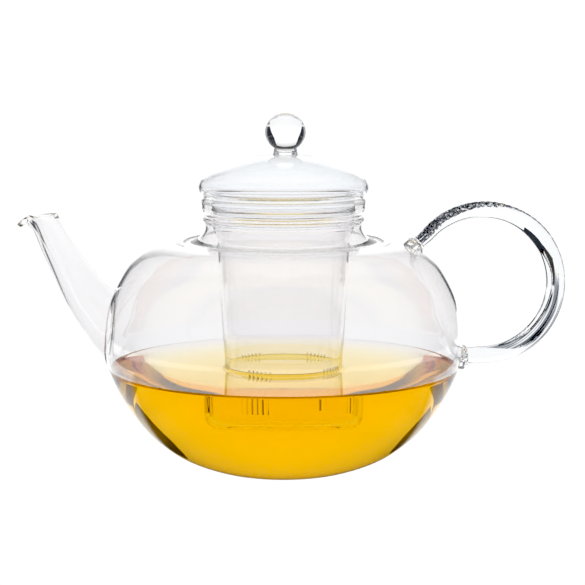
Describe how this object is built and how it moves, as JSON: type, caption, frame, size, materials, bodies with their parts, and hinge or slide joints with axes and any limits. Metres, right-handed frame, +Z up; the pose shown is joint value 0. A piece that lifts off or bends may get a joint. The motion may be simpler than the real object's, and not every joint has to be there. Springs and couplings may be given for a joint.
{
  "type": "teapot",
  "caption": "Round clear glass teapot with a tapered spout, a ridged ring handle, a lift-out slotted glass infuser and a domed lid with a ball knob.",
  "frame": {"origin": "centre of the flat base, on the surface the pot rests on", "axes": "+Z up along the axis of the pot, lid and infuser; the spout points to -X and the handle to +X"},
  "size_m": [0.2631, 0.1714, 0.1732],
  "materials": {
    "pot_glass": "thin clear borosilicate, blown, fire polished, with faint vertical streaks",
    "spout_glass": "thin clear borosilicate tube, fire polished mouth",
    "handle_glass": "solid clear borosilicate rod, polished, crimped ridges on top",
    "weld_glass": "clear glass, flame melted, slightly rippled",
    "infuser_glass": "thin clear borosilicate, blown, sawn slots",
    "lid_glass": "thin clear borosilicate, blown dome with a rolled edge",
    "knob_glass": "solid clear glass, polished"
  },
  "bodies": {
    "pot": {"pot_body": "pot_glass", "spout": "spout_glass", "handle": "handle_glass", "handle_upper_weld": "weld_glass", "handle_lower_weld": "weld_glass"},
    "infuser": {"infuser": "infuser_glass"},
    "lid": {"lid_cover": "lid_glass", "lid_knob_stem": "knob_glass", "lid_knob": "knob_glass"}
  },
  "joints": [
    {"name": "infuser_lift", "type": "slide", "parent": "pot", "child": "infuser", "axis": [0, 0, 1], "range_m": [0, 0.12]},
    {"name": "lid_lift", "type": "slide", "parent": "infuser", "child": "lid", "axis": [0, 0, 1], "range_m": [0, 0.06]}
  ]
}
